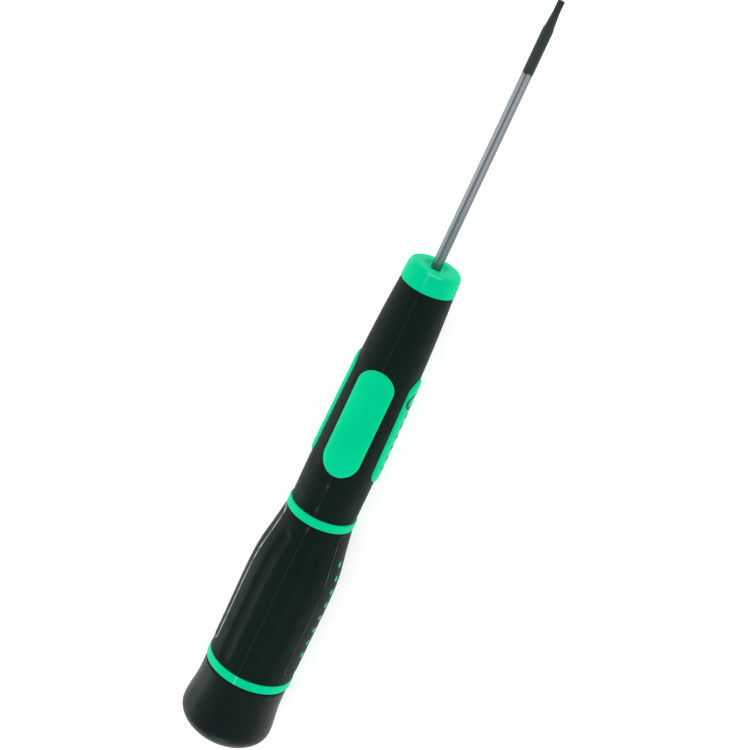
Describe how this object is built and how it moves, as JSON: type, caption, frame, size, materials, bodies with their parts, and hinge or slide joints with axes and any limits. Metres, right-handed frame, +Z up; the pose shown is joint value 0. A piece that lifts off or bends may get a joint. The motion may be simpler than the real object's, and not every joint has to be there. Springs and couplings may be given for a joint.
{
  "type": "precision screwdriver",
  "caption": "Slim two-colour precision screwdriver with a thin round blade, a small six-lobe star tip, proud grip pads and a free-turning domed cap.",
  "frame": {"origin": "on the tool's axis, in the plane of the collar's front face, where the blade leaves the handle", "axes": "+X along the blade towards its tip, +Z up out of the middle of the top grip pad, in the mould's parting plane"},
  "size_m": [0.1501, 0.0172, 0.0172],
  "materials": {
    "blade_steel": "satin ground steel, blackened over the last 13 mm",
    "green_plastic": "semi-gloss moulded",
    "black_plastic": "glossy moulded",
    "cap_plastic": "fine matt texture, moulded",
    "pin_steel": "plain bright",
    "washer_plastic": "natural acetal"
  },
  "bodies": {
    "handle": {"blade": "blade_steel", "handle_core": "green_plastic", "front_grip": "black_plastic", "rear_grip": "black_plastic", "size_marks": "black_plastic", "cap_pin": "pin_steel", "thrust_washer": "washer_plastic"},
    "cap": {"swivel_cap": "cap_plastic"}
  },
  "joints": [
    {"name": "cap_spin", "type": "hinge", "parent": "handle", "child": "cap", "pos_m": [-0.09005, 0, 0], "axis": [1, 0, 0], "continuous": true}
  ]
}
